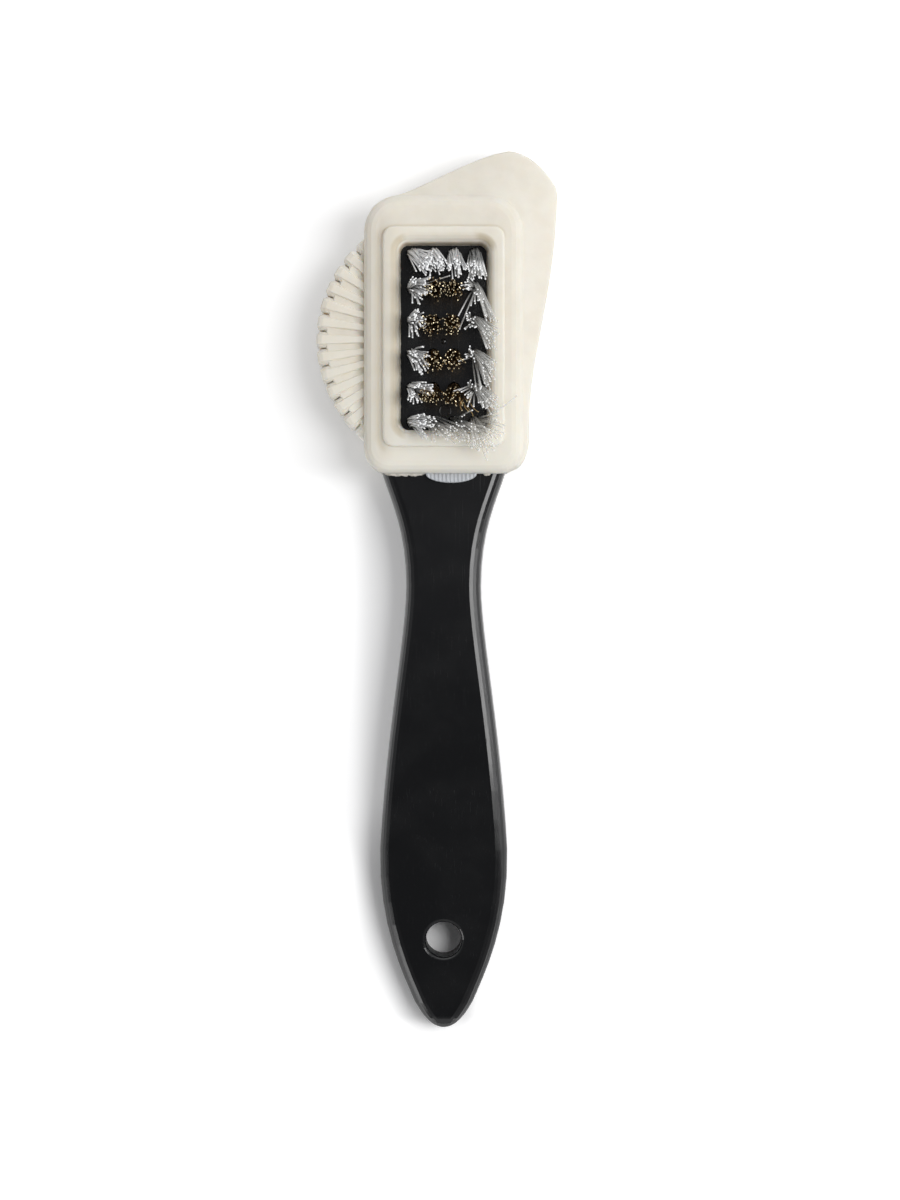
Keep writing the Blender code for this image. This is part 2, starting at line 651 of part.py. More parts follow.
def make_tuft(row, column, x, y, parts, nylon, brass):
    """One tuft: brass wire inside the field, nylon round it."""
    inner_row = 1 < row < TUFT_ROWS
    inner_column = 1 < column < TUFT_COLUMNS
    metal = inner_row and inner_column
    top = HEAD_FACE - ROOT_SINK
    bottom = HEAD_FACE - HOLE_DEPTH + ANCHOR_HEIGHT + 2 * GAP
    radius = HOLE_DIAMETER / 2 - GAP

    bm = bmesh.new()
    disc = tuft_root(bm, radius, top, bottom)
    spread = BRASS_SPREAD_SHARE if metal else NYLON_SPREAD_SHARE
    grow_strands(bm, disc, top, radius, tuft_lean(row, column), spread, 1 if metal else 2)
    kind = "brass_tuft" if metal else "nylon_tuft"
    tuft = add_object(f"{kind}_r{row}_c{column}", bm, parts, brass if metal else nylon)
    tuft.location = (x, y, 0)
    return tuft


def anchor_mesh(material):
    """A short flat wire on edge, shared by all the anchors."""
    bm = bmesh.new()
    length = HOLE_DIAMETER - 2 * GAP
    bmesh.ops.create_cube(bm, size=1, matrix=Matrix.Diagonal((length, ANCHOR_THICKNESS, ANCHOR_HEIGHT, 1)))
    mesh = bpy.data.meshes.new("anchor")
    bm.to_mesh(mesh)
    bm.free()
    mesh.materials.append(material)
    return mesh


def make_anchors(parts, material):
    """The anchor at the bottom of each hole, under the tuft's fold."""
    mesh = anchor_mesh(material)
    z = HEAD_FACE - HOLE_DEPTH + GAP + ANCHOR_HEIGHT / 2
    for row, column, x, y in tuft_places():
        anchor = bpy.data.objects.new(f"anchor_r{row}_c{column}", mesh)
        anchor.location = (x, y, z)
        parts.objects.link(anchor)


def main():
    clear_scene()
    parts = new_collection("rubber_brush")
    cutters = new_collection("cutters")
    materials = {name: new_material(name) for name in COLOURS}

    make_handle(parts, cutters, materials["handle"])
    make_sleeve(parts, cutters, materials["rubber"])
    for row, column, x, y in tuft_places():
        make_tuft(row, column, x, y, parts, materials["nylon"], materials["brass"])
    make_anchors(parts, materials["wire"])


main()
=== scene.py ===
# %% [markdown]
# # A suede brush
#
# The brush has three kinds of work surface: tufts of nylon and brass in the head, a fan of rubber ribs
# on the left, and a rubber wedge on the right. The black handle and the cream sleeve come from the
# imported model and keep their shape. This script gives every piece its finish, and puts real strands
# where the model has plain tufts.
#
# The brush lies on its back. Its far end points along +y, the wedge's side along +x, and the bristles
# stand up along +z. Blender counts in metres, so a length in millimetres is a number times MM.

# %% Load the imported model
import math
import random

import bmesh
import bpy
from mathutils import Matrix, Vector, noise
from mathutils.geometry import interpolate_bezier


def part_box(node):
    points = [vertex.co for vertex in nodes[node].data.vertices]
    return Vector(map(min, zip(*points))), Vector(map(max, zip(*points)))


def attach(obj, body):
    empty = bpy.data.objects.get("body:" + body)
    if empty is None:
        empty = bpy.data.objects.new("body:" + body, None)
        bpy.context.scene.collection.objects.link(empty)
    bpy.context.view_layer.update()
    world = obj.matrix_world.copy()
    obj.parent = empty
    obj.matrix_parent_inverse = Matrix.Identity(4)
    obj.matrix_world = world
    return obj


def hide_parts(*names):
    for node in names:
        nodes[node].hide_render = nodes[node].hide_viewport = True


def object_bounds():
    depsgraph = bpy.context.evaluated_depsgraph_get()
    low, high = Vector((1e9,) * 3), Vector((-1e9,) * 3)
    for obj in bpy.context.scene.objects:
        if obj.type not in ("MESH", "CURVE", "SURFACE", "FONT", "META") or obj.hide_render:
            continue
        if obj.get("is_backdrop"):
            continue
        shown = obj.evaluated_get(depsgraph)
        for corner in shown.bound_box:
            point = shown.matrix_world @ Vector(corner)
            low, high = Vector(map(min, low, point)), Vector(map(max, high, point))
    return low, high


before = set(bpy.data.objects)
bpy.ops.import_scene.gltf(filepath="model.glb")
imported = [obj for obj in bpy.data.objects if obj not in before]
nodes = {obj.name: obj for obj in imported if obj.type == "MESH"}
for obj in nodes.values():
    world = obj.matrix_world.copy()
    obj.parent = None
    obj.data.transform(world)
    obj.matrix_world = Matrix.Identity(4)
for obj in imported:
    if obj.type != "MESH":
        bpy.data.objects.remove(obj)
cad_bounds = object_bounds()
MM = 0.001
print("nodes in the model:", len(nodes))

# %% [markdown]
# ## The camera
#
# The photograph looks straight down on the brush, with the hang hole towards the bottom of the picture.
# A long lens half a metre above the table keeps the upright sides of the rubber almost hidden, as they
# are in the photograph. An orthographic camera would hide them wholly, and a nearer one would show too
# much of them.

# %% Place the camera
CAMERA_PLACE = (1.15 * MM, -47.6 * MM, 500 * MM)
LENS = 80.82

scene = bpy.context.scene
camera_data = bpy.data.cameras.new("camera")
camera_data.lens = LENS
camera = bpy.data.objects.new("camera", camera_data)
camera.location = CAMERA_PLACE
scene.collection.objects.link(camera)
scene.camera = camera
scene.view_settings.view_transform = "Standard"
print("lens:", LENS, "mm")

# %% [markdown]
# ## Shader maths as Python
#
# A material is a small machine of nodes. Writing it as plain expressions keeps it readable, so one class
# wraps a socket: `a * b + 0.5` adds the Math nodes, and `node` adds any other kind. Colours never go
# through a Math node, because that would turn them grey, so they have `blend`.


# %% A wire that does arithmetic
def fill(socket, value):
    """Link a wire to a socket, or set the socket's own value."""
    if isinstance(value, Wire):
        value.socket.id_data.links.new(value.socket, socket)
    else:
        socket.default_value = value


class Wire:
    """One output socket of a shader's nodes."""

    def __init__(self, socket):
        self.socket = socket

    def node(self, kind, settings=None, values=None, output=0):
        """Add a node of any kind beside this one: its settings first, then its sockets."""
        made = self.socket.id_data.nodes.new(kind)
        for name, setting in (settings or {}).items():
            setattr(made, name, setting)
        for name, value in (values or {}).items():
            fill(made.inputs[name], value)
        return Wire(made.outputs[output])

    def math(self, operation, *values):
        return self.node("ShaderNodeMath", {"operation": operation}, dict(enumerate(values)))

    def __add__(self, other):
        return self.math("ADD", self, other)

    __radd__ = __add__

    def __sub__(self, other):
        return self.math("SUBTRACT", self, other)

    def __rsub__(self, other):
        return self.math("SUBTRACT", other, self)

    def __mul__(self, other):
        return self.math("MULTIPLY", self, other)

    __rmul__ = __mul__

    def __abs__(self):
        return self.math("ABSOLUTE", self)

    def root(self):
        return self.math("SQRT", self)

    def larger(self, other):
        """This or the other value, whichever is larger."""
        return self.math("MAXIMUM", self, other)

    def between(self, low, high):
        """0 where this is low, 1 where it is high, with a soft step from one to the other."""
        values = {"Value": self, "From Min": low, "From Max": high}
        return self.node("ShaderNodeMapRange", {"interpolation_type": "SMOOTHSTEP"}, values)

    def blend(self, colour, other):
        """From one colour to another by this factor."""
        return self.node("ShaderNodeMix", {"data_type": "RGBA"}, {0: self, 6: colour, 7: other}, 2)


# %% [markdown]
# ## How a finish starts
#
# Every finish starts the same way: a Principled shader with its constant values on its own sockets, and
# two things to build on, the place of each point on the object and a soft noise. The pieces sit at the
# origin, so an object coordinate is a real place on the brush, in metres. Paint or a picture could mark
# the worn places too, but places and noise need no unwrapping and stay sharp from close by.


# %% Start a finish
def new_finish(name, constants):
    """A material, and the wire of its shader."""
    material = bpy.data.materials.new(name)
    material.use_nodes = True
    principled = material.node_tree.nodes["Principled BSDF"]
    for socket, value in constants.items():
        principled.inputs[socket].default_value = value
    return material, Wire(principled.outputs[0])


def set_input(shader, socket, value):
    fill(shader.socket.node.inputs[socket], value)


# %% What a finish is built on
def place_on(shader):
    """The point's place as a vector wire, and as its three parts."""
    place = shader.node("ShaderNodeTexCoord", output="Object")
    parts = [shader.node("ShaderNodeSeparateXYZ", None, {0: place}, axis) for axis in "XYZ"]
    return place, *parts


def grain(place, size, detail=2.0, stretch=(1, 1, 1)):
    """A soft noise from 0 to 1, whose blotches are about size metres across."""
    scale = tuple(share / size for share in stretch)
    scaled = place.node("ShaderNodeVectorMath", {"operation": "MULTIPLY"}, {0: place, 1: scale})
    return place.node("ShaderNodeTexNoise", None, {"Vector": scaled, "Scale": 1.0, "Detail": detail}, 0)


def raise_surface(shader, height, depth, strength):
    """Feed the shader's normal from a height of 0 to 1, which stands for depth metres."""
    values = {"Height": height, "Distance": depth, "Strength": strength}
    set_input(shader, "Normal", shader.node("ShaderNodeBump", None, values, "Normal"))


# %% Dress a piece of the model
def dress(name, finish):
    """Put a finish in the place of the plain one that a piece of the model came with."""
    materials = nodes[name].data.materials
    materials.clear()
    materials.append(finish)


def keep_faces_flat(piece):
    """Let the large faces decide the shading, so that a rounded edge doesn't bend the face beside it."""
    weighted = piece.modifiers.new("flat_faces", "WEIGHTED_NORMAL")
    weighted.weight = 100
    weighted.keep_sharp = True


# %% [markdown]
# ## Black moulded plastic
#
# The handle is one polypropylene moulding. Its skin is nearly black with a satin gloss, and it isn't
# perfect: the mould leaves a fine orange peel, handling leaves hairline scratches along the grip, and
# dust dulls the gloss in patches. The head was moulded against a duller part of the mould, and the edge
# near the tip has been rubbed dull. The scratches could be drawn one by one, but a noise that is drawn
# out along the grip gives hundreds of them, and no two are the same.

# %% Finish of the handle
CLEAN_BLACK = (0.0055, 0.0058, 0.0066, 1)
DUSTY_BLACK = (0.0080, 0.0083, 0.0090, 1)
HEAD_BLACK = (0.0030, 0.0034, 0.0042, 1)
# The grip's upper face runs down to the tip: its height there, its slope, and where the tip ends
TIP_FACE = 5.35 * MM
TIP_SLOPE = 0.085
TIP_REACH = 126 * MM

plastic, shader = new_finish("black_moulded_plastic", {"IOR": 1.58})
place, _, y, z = place_on(shader)
on_head = y.between(-25 * MM, -23 * MM)
below_face = TIP_FACE + TIP_SLOPE * (y + TIP_REACH) - z
on_tip_edge = below_face.between(0.3 * MM, 1.0 * MM) * y.between(-78 * MM, -96 * MM)
peel = grain(place, 0.5 * MM, 3.0)
scratches = grain(place, 0.12 * MM, 1.0, (1, 0.012, 1)).between(0.66, 0.74)
dust = grain(place, 9 * MM, 4.0).between(0.35, 0.75)

skin = dust.blend(CLEAN_BLACK, DUSTY_BLACK)
dull = 0.13 + 0.05 * dust + 0.12 * scratches + 0.08 * on_head + 0.4 * on_tip_edge
set_input(shader, "Base Color", on_head.blend(skin, HEAD_BLACK))
set_input(shader, "Roughness", dull)
raise_surface(shader, peel - 0.5 * scratches, 0.003 * MM, 0.4)
dress("handle", plastic)
keep_faces_flat(nodes["handle"])
print("handle:", plastic.name)

# %% [markdown]
# ## Cream rubber
#
# The sleeve is a thermoplastic rubber, matt and a little warm, and light goes a short way into it. A
# frame runs round it, with a lip raised on it round the window. It is cleanest on the frame and cooler
# towards the mouth. The side with the fan is painted a little darker, and the frame left of the window
# more so: this is painted shade.
#
# Dust and shoe dirt stay where nothing wipes them off: in the valleys of the fan, on the window's walls,
# and in a thin ring round the window. The same tans are also painted shade there, darkest where shade
# falls: in the valleys, on the walls, and on the ring beside the fan. Near the body the valleys are
# painted lighter again, and so is the window's inner rim near its ends: painted light on places that
# stand in shade. The crease at the lip's far end is painted darker as painted shade, and the frame just
# left of the lip carries the painted shadow that the lip casts. Most of these places follow an outline,
# so one helper measures how far a point is from a rounded rectangle, and each place is a mask from 0 to
# 1. A noise breaks up what dirt and painted shade alone do.

# %% Measures of the sleeve
BODY_HALF_WIDTH = 14.45 * MM
BODY_MIDDLE = 6.75 * MM
CREST_HALF_HEIGHT = 4.5 * MM
WINDOW_HALF_WIDTH = 7.85 * MM
WINDOW_HALF_LENGTH = 16.8 * MM
WINDOW_CORNER = 1.5 * MM
LIP_HALF_WIDTH = 11.0 * MM
LIP_HALF_LENGTH = 19.9 * MM
LIP_CORNER = 2.0 * MM


def beyond_outline(x, y, half_width, half_length, corner):
    """How far a point lies outside a rounded rectangle. Inside it this is below zero."""
    over_x = (abs(x) - (half_width - corner)).larger(0)
    over_y = (abs(y) - (half_length - corner)).larger(0)
    return (over_x * over_x + over_y * over_y).root() - corner


print("window:", round(2 * WINDOW_HALF_WIDTH / MM, 1), "by", round(2 * WINDOW_HALF_LENGTH / MM, 1), "mm")

# %% Places on the sleeve for dirt, painted shade and painted light
rubber, shader = new_finish("cream_rubber", {
    "IOR": 1.5,
    "Subsurface Weight": 0.6,
    "Subsurface Scale": 2.0 * MM,
    "Subsurface Radius": (1.0, 0.85, 0.65),
})
place, x, y, z = place_on(shader)
on_fan = x.between(-BODY_HALF_WIDTH + 0.2 * MM, -BODY_HALF_WIDTH - 0.5 * MM)
from_middle = abs(z - BODY_MIDDLE)
in_valley = on_fan * from_middle.between(CREST_HALF_HEIGHT - 0.05 * MM, CREST_HALF_HEIGHT - 1.0 * MM)
upper = z.between(11 * MM, 12 * MM)

off_window = beyond_outline(x, y, WINDOW_HALF_WIDTH, WINDOW_HALF_LENGTH, WINDOW_CORNER)
in_window = off_window.between(1.0 * MM, 0.2 * MM) * y.between(17 * MM, 13 * MM)
far_wall = off_window.between(0.5 * MM, 0.1 * MM) * y.between(14.5 * MM, 15.5 * MM)
at_ends = abs(y).between(15.5 * MM, 16.5 * MM)
inner_rim = off_window.between(0.7 * MM, 0.3 * MM) * at_ends
inner_rim = inner_rim * z.between(10 * MM, 10.5 * MM) * x.between(7 * MM, 6 * MM)
print("masks: valleys of the fan, window, its far wall, its inner rim")

# %% The ring round the window
at_far_end = y.between(14 * MM, 17 * MM)
beside_fan = x.between(-6.5 * MM, -8 * MM)
beside_wedge = x.between(7 * MM, 8 * MM) * off_window.between(1.3 * MM, 0.8 * MM)
far_corner = x.between(5 * MM, 7 * MM) * y.between(15 * MM, 17 * MM)
ring = off_window.between(0.3 * MM, 0.8 * MM) * off_window.between(2.1 * MM, 1.4 * MM)
# The ring is dirt and painted shade; beside the fan it stands for the shade on the lip's inner slope
ring = ring * upper * (0.1 * at_far_end + 0.45 * beside_fan + 0.2 * beside_wedge + 0.5 * far_corner)
print("mask: ring round the window")

# %% Painted shade at the lip's foot and on the fan's side
off_lip = beyond_outline(x, y, LIP_HALF_WIDTH, LIP_HALF_LENGTH, LIP_CORNER)
crease = off_lip.between(-0.3 * MM, 0) * off_lip.between(0.6 * MM, 0.1 * MM)
foot = off_lip.between(0.4 * MM, 0.8 * MM) * off_lip.between(1.8 * MM, 0.8 * MM)
foot = foot * x.between(-10 * MM, -11 * MM)
# Painted shade in the lip's crease at the far end, and the lip's painted shadow on the frame to its left
lip_crease_shade = 0.3 * crease * y.between(17 * MM, 19.5 * MM) + 0.35 * foot * y.between(21 * MM, 18 * MM)
left_shade = x.between(-8 * MM, -11.5 * MM) * upper * y.between(24 * MM, 20 * MM)
left_shade = left_shade * y.between(-24 * MM, -20 * MM) * (1 - 0.5 * x.between(-11 * MM, -12.5 * MM)) * (1 - crease)
print("masks: lip's foot, held side")

# %% Colour of the sleeve
CREAM = (0.85, 0.812, 0.725, 1)
CREAM_SHADE = (0.815, 0.772, 0.68, 1)
VALLEY_PAINTED_LIGHT = (0.95, 0.92, 0.85, 1)
RIM_PAINTED_LIGHT = (0.97, 0.94, 0.86, 1)
MOUTH_CREAM = (0.85, 0.825, 0.745, 1)
LEFT_SHADE_CREAM = (0.66, 0.615, 0.53, 1)
VALLEY_DIRT_AND_SHADE = (0.70, 0.635, 0.51, 1)
WINDOW_DIRT_AND_SHADE = (0.56, 0.50, 0.38, 1)
RING_DIRT_AND_SHADE = (0.55, 0.46, 0.30, 1)
FAR_WALL_TAN = (0.62, 0.50, 0.34, 1)

mottle = grain(place, 3.5 * MM, 4.0)
ragged = grain(place, 1.6 * MM, 3.0) - 0.5
specks = grain(place, 0.22 * MM, 1.0).between(0.74, 0.80)
colour = mottle.between(0.3, 0.7).blend(CREAM, CREAM_SHADE)
colour = (0.7 * y.between(5 * MM, -22 * MM)).blend(colour, MOUTH_CREAM)
# Painted shade: the fan's side a little darker, the frame left of the window more
colour = (left_shade * 0.6 + on_fan * 0.2).blend(colour, LEFT_SHADE_CREAM)
# Dirt and painted shade in the fan's valleys; near the body they are painted lighter again, as painted light
colour = (in_valley * 0.1).blend(colour, VALLEY_DIRT_AND_SHADE)
colour = (0.7 * in_valley * x.between(-18.5 * MM, -15.5 * MM)).blend(colour, VALLEY_PAINTED_LIGHT)
# Dirt and painted shade on the ring, and painted shade and shadow at the lip
colour = (ring + lip_crease_shade * upper).blend(colour, RING_DIRT_AND_SHADE)
# Dirt and painted shade on the window's walls
colour = (in_window * upper * (0.45 + ragged)).blend(colour, WINDOW_DIRT_AND_SHADE)
# Painted light: the inner rim near the window's ends is painted lighter, where the wall stands in shade
colour = inner_rim.blend(colour, RIM_PAINTED_LIGHT)
colour = (0.7 * far_wall).blend(colour, FAR_WALL_TAN)
set_input(shader, "Base Color", (specks * 0.22).blend(colour, WINDOW_DIRT_AND_SHADE))
print("sleeve's colour: layers from clean cream to specks of dirt")

# %% Surface of the sleeve
fine = grain(place, 0.35 * MM, 3.0)
set_input(shader, "Roughness", 0.58 + 0.12 * mottle)
raise_surface(shader, fine + 0.6 * mottle, 0.03 * MM, 0.55)
dress("rubber_sleeve", rubber)
keep_faces_flat(nodes["rubber_sleeve"])
print("sleeve:", rubber.name)

# %% [markdown]
# ## Steel anchors
#
# Each tuft is folded over a short flat wire and driven into its hole. The wires can't be seen from
# outside, but a maker who takes the brush apart will find drawn steel with a faint grain. The grain runs
# with the wire's length, so the noise is squeezed upright, and one finish serves all of them.

# %% Finish of the anchors
steel, shader = new_finish("drawn_steel_wire", {"Metallic": 1.0})
place, *_ = place_on(shader)
drawn = grain(place, 0.15 * MM, 2.0, (1, 1, 6))
set_input(shader, "Base Color", drawn.blend((0.42, 0.42, 0.41, 1), (0.62, 0.62, 0.60, 1)))
set_input(shader, "Roughness", 0.28 + 0.2 * drawn)
anchors = [name for name in nodes if name.startswith("anchor_")]
for name in anchors:
    dress(name, steel)
print("anchors:", len(anchors), steel.name)

# %% [markdown]
# ## Strands
#
# A bristle is a thin round thread, so it is modelled as one: rings of points along its path, joined by
# faces. Blender's hair or a curve with a thickness would be quicker to draw, but here each end needs its
# own form. Wear rounds and swells the end of a nylon bristle, so that one closes with a small dome,
# while a wire is cut off flat. The end gets a material slot of its own, because from above the ends are
# most of what is seen. The ring's frame comes from one fixed direction that no bristle points along,
# which keeps the tube from twisting.

# %% Measures of a strand
STRAND_SIDES = 8
ACROSS = Vector((0.8, 0.6, -0.1))
# Where the end starts, in radii below the tip
NECK = 1.8
# An end's rings as shares of its radius: how wide, and how far up
WORN_END = ((1.0, 0.0), (0.8, 0.6), (0.4, 0.92))
CUT_END = ((1.0, 1.0),)
print("rings in a worn end:", len(WORN_END), "and in a cut end:", len(CUT_END))


# %% One strand
def ring_of_points(bm, middle, side, other, radius, sides):
    """A circle of points in the plane of two directions."""
    ring = []
    for corner in range(sides):
        turn = 2 * math.pi * corner / sides
        ring.append(bm.verts.new(middle + radius * (math.cos(turn) * side + math.sin(turn) * other)))
    return ring


def join_rings(bm, lower, upper):
    """Smooth faces between two rings of as many points, all the way round."""
    faces = []
    for i in range(len(lower)):
        j = (i + 1) % len(lower)
        face = bm.faces.new((lower[i], lower[j], upper[j], upper[i]))
        face.smooth = True
        faces.append(face)
    return faces


def add_strand(bm, path, radius, end, flare):
    """A closed round strand along a path of points. Its end goes in the second material slot."""
    onward = (path[-1] - path[-2]).normalized() * radius * flare
    stations = [(point, radius) for point in path[:-1]]
    stations.append((path[-1] - NECK * onward, radius))
    stations += [(path[-1] + (lift - 1) * onward, radius * flare * wide) for wide, lift in end]
    points = [point for point, _ in stations]
    rings = []
    for index, (point, around) in enumerate(stations):
        forward = points[min(index + 1, len(points) - 1)] - points[max(index - 1, 0)]
        side = forward.cross(ACROSS).normalized()
        other = forward.cross(side).normalized()
        rings.append(ring_of_points(bm, point, side, other, around, STRAND_SIDES))
    for level, (lower, upper) in enumerate(zip(rings, rings[1:])):
        for face in join_rings(bm, lower, upper):
            face.material_index = int(end is WORN_END and level >= len(path) - 1)
    bm.faces.new(rings[0][::-1])
    top = bm.faces.new(rings[-1])
    top.smooth = end is WORN_END
    top.material_index = 1
    return top


# %% [markdown]
# ## Adding pieces
#
# All the pieces that this script adds go through one helper. It makes the object, gives it its finishes,
# and lets it ride on the brush.


# %% Add a piece
def add_piece(name, bm, finishes):
    """An object of the brush from a mesh in the making, which is used up."""
    bmesh.ops.recalc_face_normals(bm, faces=bm.faces[:])
    mesh = bpy.data.meshes.new(name)
    bm.to_mesh(mesh)
    bm.free()
    for finish in finishes:
        mesh.materials.append(finish)
    piece = bpy.data.objects.new(name, mesh)
    scene.collection.objects.link(piece)
    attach(piece, "root")
    return piece


# %% [markdown]
# ## Where the bristles go
#
# A new tuft would stand straight up. This brush has been used, so each tuft has fallen into a few clumps
# of its own. A simulation could let them fall, but they would lie anyhow, and a short list puts them as
# they lie in the photograph. A clump is given by its share of the tuft's strands and by how far its tips
# stand from the tuft's root, towards the wedge and towards the far end, in millimetres. A share of zero
# is one stray.

# %% Clumps of each nylon tuft
NYLON_CLUMPS = {
    "r1_c1": ((0.45, 2.2, -3.2), (0.35, 3.3, -2.2), (0.2, 3.2, -3.8)),
    "r1_c2": ((0.4, 1.4, -2.6), (0.3, 1.0, -3.9), (0.3, -0.1, -2.9)),
    "r1_c3": ((0.4, 0.3, -2.6), (0.25, 1.2, -3.8), (0.2, -0.7, -3.5), (0.15, 0.8, -4.8),
              (0, 2.3, -3.7), (0, 2.6, -3.2)),
    "r1_c4": ((0.35, -0.4, -3.2), (0.45, 1.1, -4.7), (0.2, -0.5, -4.4)),
    "r2_c1": ((0.35, 0.7, 0.1), (0.3, 2.4, -0.7), (0.2, 1.9, -2.0), (0.15, 1.4, -3.1),
              (0, 3.2, 0.5), (0, 6.2, 1.8)),
    "r2_c4": ((0.25, -1.3, -0.6), (0.2, -0.8, -1.8), (0.2, 0.6, -3.4), (0.35, 3.0, -6.2),
              (0, -3.1, -6.0), (0, -2.7, -7.6)),
    "r3_c1": ((0.35, 0.8, 0.3), (0.3, 1.7, -0.9), (0.25, 0.8, -2.1), (0.1, 0.6, -3.5)),
    "r3_c4": ((0.2, -0.9, -0.5), (0.15, -0.7, -1.8), (0.4, 2.7, -3.0), (0.25, 2.5, -5.3)),
    "r4_c1": ((0.35, 0.6, -0.9), (0.25, 2.3, -0.7), (0.2, 1.1, -3.3), (0.2, 2.1, -3.1)),
    "r4_c4": ((0.25, -1.1, -0.7), (0.35, 2.7, -2.4), (0.25, 2.5, -4.8), (0.15, 1.6, -6.6),
              (0, -2.2, -2.1)),
    "r5_c1": ((0.35, 1.4, -0.3), (0.25, 3.4, -0.8), (0.25, 0.0, -2.1), (0.15, 0.5, -3.1)),
    "r5_c4": ((0.12, -0.9, -0.5), (0.13, -2.3, -2.0), (0.45, 2.7, -3.1), (0.2, 2.1, -3.6),
              (0.1, -0.5, -3.5)),
    "r6_c1": ((0.4, 1.9, -0.3), (0.3, 3.4, -0.2), (0.2, 3.3, -1.3), (0.1, 2.5, -3.1)),
    "r6_c2": ((0.4, 3.2, -2.2), (0.35, 2.0, -3.2), (0.15, 0.5, -1.9), (0.1, 4.6, -3.6)),
    "r6_c3": ((0.4, 2.5, -2.9), (0.25, 1.8, -1.0), (0.2, 4.2, -4.6), (0.15, 5.0, -2.2)),
    "r6_c4": ((0.3, 1.1, -3.9), (0.2, 3.9, -0.2), (0.25, 4.0, -2.6), (0.25, 2.6, -5.4)),
}
print("nylon tufts with clumps:", len(NYLON_CLUMPS))

# %% [markdown]
# The strands of a tuft stand in its hole like the seeds of a sunflower, which packs a round hole evenly.
# Each clump takes the strands that already stand on its side, so the strands cross as little as they do
# in a real tuft.

# %% Roots and clumps
GOLDEN_ANGLE = math.radians(137.5)


def sunflower(count, radius):
    """Places spread evenly over a disc."""
    places = []
    for index in range(count):
        reach = radius * math.sqrt((index + 0.5) / count)
        angle = index * GOLDEN_ANGLE
        places.append(Vector((reach * math.cos(angle), reach * math.sin(angle), 0)))
    return places


def share_out(places, clumps, spread):
    """Pair every place with its lean. A clump takes the places on its own side, and keeps their order."""
    left = list(places)
    pairs = []
    ranked = sorted(clumps, key=lambda clump: clump[0])
    for share, tip_x, tip_y in ranked:
        tip = Vector((tip_x, tip_y, 0)) * MM
        left.sort(key=lambda place: place.dot(tip), reverse=True)
        take = len(left) if (share, tip_x, tip_y) == ranked[-1] else max(1, round(share * len(places)))
        taken, left = left[:take], left[take:]
        middle = sum(taken, Vector()) / len(taken)
        pairs += [(place, tip + (place - middle) * spread - place) for place in taken]
    return pairs


# %% [markdown]
# A strand rises straight out of the hole and then bends over, more and more towards its tip. Its length
# stays the same however far it leans, so a tip that leans far also lies lower.

# %% A strand that bends over
HEAD_FACE = 10.5 * MM
HOLE_FLOOR = 2.9 * MM
BRISTLE_LENGTH = 9.4 * MM
# A strand that leans far stays straight for longer: what each millimetre adds to the bend's power
LATE_BEND = 0.11
# The lowest that a strand lies, as a share of its length
FLATTEST = 0.35


def bend_over(foot, lean, length, steps, power):
    """Points of a strand that starts in its hole and leans over by the given way at its tip."""
    power = power + LATE_BEND * lean.length / MM
    rise = math.sqrt(max(length ** 2 - lean.length_squared, (FLATTEST * length) ** 2))
    path = [foot + Vector((0, 0, HEAD_FACE - HOLE_FLOOR))]
    for step in range(steps + 1):
        share = step / steps
        path.append(foot + lean * share ** power + Vector((0, 0, HEAD_FACE + rise * share)))
    return path


def tuft_middle(cell):
    """The middle of a tuft's hole, over the anchor that holds the tuft."""
    low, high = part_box(f"anchor_{cell}")
    return Vector(((low[0] + high[0]) / 2, (low[1] + high[1]) / 2, 0))


# %% [markdown]
# ## Nylon
#
# Nylon thread is clear, and a bundle of it looks white because light is caught in it. Real glass-like
# refraction in a thousand threads would be slow and turn dark, so the shaft is partly see-through with a
# soft gloss. The threads are painted grey near the root, as painted shade deep in the tuft. The tufts on
# the wedge's side and the last row are rubbed most and have gone thin, so that more of what is behind
# them shows. The threads in the far corner and at the foot of the last row stand in the wall's shade,
# which is painted into them as a nearly black colour.

# %% Finish of a bristle
THREAD_COOL = (0.86, 0.87, 0.88, 1)
THREAD_WHITE = (0.97, 0.97, 0.97, 1)
THREAD_RUBBED = (0.88, 0.88, 0.86, 1)
THREAD_LAST_ROW = (0.94, 0.925, 0.88, 1)
THREAD_ROOT_SHADE = (0.36, 0.36, 0.34, 1)
THREAD_IN_SHADE = (0.18, 0.19, 0.19, 1)

nylon, shader = new_finish("clear_nylon_thread", {"IOR": 1.53})
place, x, y, z = place_on(shader)
streaks = grain(place, 0.5 * MM, 2.0, (1, 1, 0.2))
rubbed = x.between(2 * MM, 6 * MM) * y.between(13 * MM, 10 * MM)
last_row = x.between(-3.6 * MM, -2 * MM) * y.between(-13.5 * MM, -15 * MM)
near_root = z.between(HEAD_FACE + 5 * MM, HEAD_FACE)
in_corner = x.between(1 * MM, 5 * MM) * y.between(12.2 * MM, 13.9 * MM)
row_foot = last_row * y.between(-17.2 * MM, -15.2 * MM) * x.between(5.5 * MM, 3.5 * MM)

colour = streaks.between(0.3, 0.7).blend(THREAD_COOL, THREAD_WHITE)
colour = rubbed.blend(colour, THREAD_RUBBED)
colour = last_row.blend(colour, THREAD_LAST_ROW)
# Painted shade near the root
colour = (0.3 * near_root).blend(colour, THREAD_ROOT_SHADE)
colour = (0.85 * in_corner.larger(row_foot)).blend(colour, THREAD_IN_SHADE)
set_input(shader, "Base Color", colour)
set_input(shader, "Roughness", 0.22 + 0.15 * streaks)
set_input(shader, "Alpha", 0.72 + 0.3 * streaks - 0.5 * rubbed.larger(last_row) - 0.06 * last_row)
print("nylon:", nylon.name)

# %% [markdown]
# The worn end is solid white, and it glows a little by itself: painted light, which stands in for light
# that entered along a shaft and leaves by its end. An end that hangs out over the lip has cream rubber
# under it in place of the black head, so it stands out less, and its painted glow is weaker here too.

